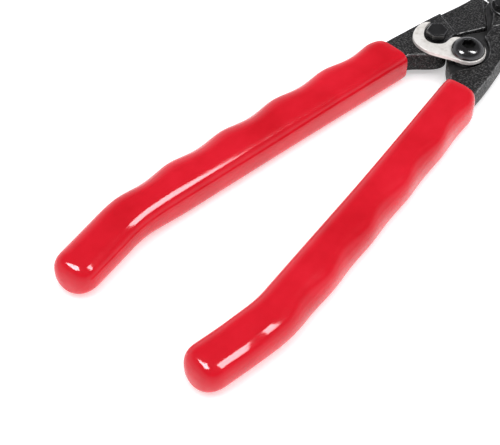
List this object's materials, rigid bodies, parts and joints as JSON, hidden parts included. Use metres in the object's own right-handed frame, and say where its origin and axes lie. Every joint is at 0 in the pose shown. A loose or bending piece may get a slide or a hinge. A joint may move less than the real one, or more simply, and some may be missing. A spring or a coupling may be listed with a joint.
{
  "type": "grozing pliers",
  "caption": "Glass grozing pliers with dipped vinyl handles, a lap-joint pivot, narrow toothed jaws and a hook latch that holds the handles closed.",
  "frame": {"origin": "centre of the bottom of the bounding box, on the surface the grips and the pivot flange lie on", "axes": "+X along the tool from the handles to the jaws, +Y towards the left handle, +Z along the pivot axis, up from the surface"},
  "size_m": [0.211, 0.0674, 0.0127],
  "materials": {
    "forged_steel": "black oxide over a fine forged grain, satin",
    "grip_vinyl": "glossy dipped vinyl",
    "latch_steel": "satin zinc plate",
    "black_fastener": "black oxide, semi-gloss",
    "spring_steel": "oiled spring steel"
  },
  "bodies": {
    "root": {"right_lever": "forged_steel", "right_grip": "grip_vinyl", "pivot_bolt": "black_fastener", "pivot_top_washer": "black_fastener", "pivot_bottom_washer": "black_fastener", "pivot_sleeve_nut": "black_fastener", "opening_spring": "spring_steel", "latch_screw": "black_fastener", "latch_bush": "latch_steel", "latch_flat_washer": "black_fastener", "latch_wave_washer": "black_fastener"},
    "left_handle": {"left_lever": "forged_steel", "left_grip": "grip_vinyl", "latch_stud": "black_fastener"},
    "latch": {"latch_hook": "latch_steel"}
  },
  "joints": [
    {"name": "handle_opening", "type": "hinge", "parent": "root", "child": "left_handle", "pos_m": [0.067, -0.002, 0.0055], "axis": [0, 0, -1], "range_deg": [0, 16]},
    {"name": "latch_swing", "type": "hinge", "parent": "root", "child": "latch", "pos_m": [0.0397, -0.0051, 0.0095], "axis": [0, 0, 1], "range_deg": [0, 56]}
  ],
  "couplings": [
    {"joint": "latch_swing", "follows": "handle_opening", "ratio": 3.5}
  ]
}
